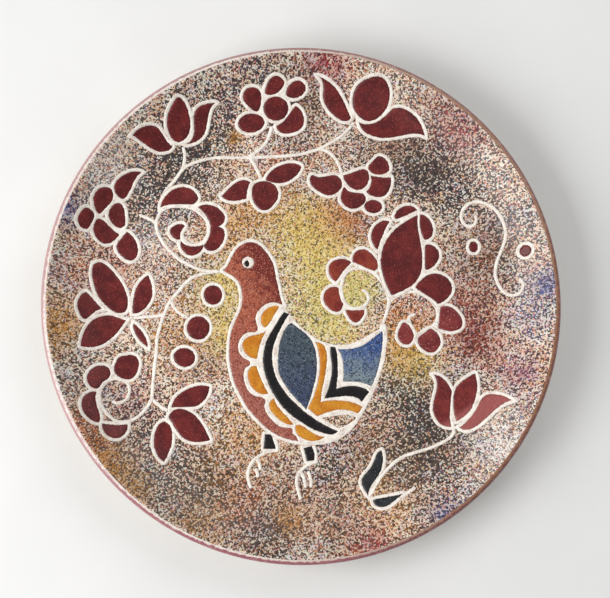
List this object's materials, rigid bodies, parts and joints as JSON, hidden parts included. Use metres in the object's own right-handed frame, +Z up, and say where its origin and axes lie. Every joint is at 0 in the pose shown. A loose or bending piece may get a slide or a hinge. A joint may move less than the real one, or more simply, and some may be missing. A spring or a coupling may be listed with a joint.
{
  "type": "hand painted ceramic plate",
  "caption": "Round decorative ceramic plate on a foot ring, with raised enamel painting of a bird among leaves, buds and spirals on a speckled glaze.",
  "frame": {"origin": "centre of the resting face under the foot ring, at the bottom of the plate's box", "axes": "+Z up out of the plate's face, along its axis; +Y towards the top of the painted picture; +X to the picture's right"},
  "size_m": [0.3, 0.3, 0.03],
  "materials": {
    "bare_clay": "matt unglazed fired clay",
    "speckled_glaze": "gloss cream glaze with sprayed specks of black, maroon, ochre, blue and yellow",
    "rim_glaze": "gloss dusty rose glaze",
    "back_glaze": "gloss cream glaze",
    "maroon_enamel": "gloss dark maroon enamel",
    "rust_enamel": "gloss mottled rust red enamel",
    "ochre_enamel": "gloss ochre enamel",
    "black_enamel": "gloss black enamel",
    "slate_enamel": "gloss slate blue enamel",
    "blue_grey_enamel": "gloss blue grey enamel",
    "cream_slip": "raised gloss cream slip"
  },
  "bodies": {
    "root": {"back_glaze": "back_glaze", "berry_column_fields": "maroon_enamel", "berry_column_lines": "cream_slip", "bird_black_feathers": "black_enamel", "bird_breast": "rust_enamel", "bird_eye": "cream_slip", "bird_leg_lines": "cream_slip", "bird_lines": "cream_slip", "bird_ochre_band": "ochre_enamel", "bird_pupil": "black_enamel", "bird_scallops": "ochre_enamel", "bird_tail": "blue_grey_enamel", "bird_thighs": "black_enamel", "bird_wing": "slate_enamel", "centre_leaves_fields": "maroon_enamel", "centre_leaves_lines": "cream_slip", "centre_spiral_fields": "rust_enamel", "centre_spiral_lines": "cream_slip", "clay_body": "bare_clay", "face_glaze": "speckled_glaze", "foot_well_glaze": "back_glaze", "leaf_pair_fields": "black_enamel", "leaf_pair_lines": "cream_slip", "left_berries_fields": "maroon_enamel", "left_berries_lines": "cream_slip", "left_leaves_fields": "maroon_enamel", "left_leaves_lines": "cream_slip", "lip_glaze": "rim_glaze", "lower_leaves_fields": "maroon_enamel", "lower_leaves_lines": "cream_slip", "lower_right_tulip_fields": "maroon_enamel", "lower_right_tulip_lines": "cream_slip", "lower_spiral_fields": "maroon_enamel", "lower_spiral_lines": "cream_slip", "lower_vine_line": "cream_slip", "right_berries_fields": "maroon_enamel", "right_berries_lines": "cream_slip", "right_leaves_fields": "maroon_enamel", "right_leaves_lines": "cream_slip", "right_spiral_fields": "rust_enamel", "right_spiral_lines": "cream_slip", "rosette_fields": "maroon_enamel", "rosette_lines": "cream_slip", "scroll_fields": "maroon_enamel", "scroll_lines": "cream_slip", "top_tulip_fields": "maroon_enamel", "top_tulip_lines": "cream_slip", "upper_left_tulip_fields": "maroon_enamel", "upper_left_tulip_lines": "cream_slip", "upper_spiral_fields": "maroon_enamel", "upper_spiral_lines": "cream_slip", "upper_vine_line": "cream_slip"}
  },
  "joints": []
}
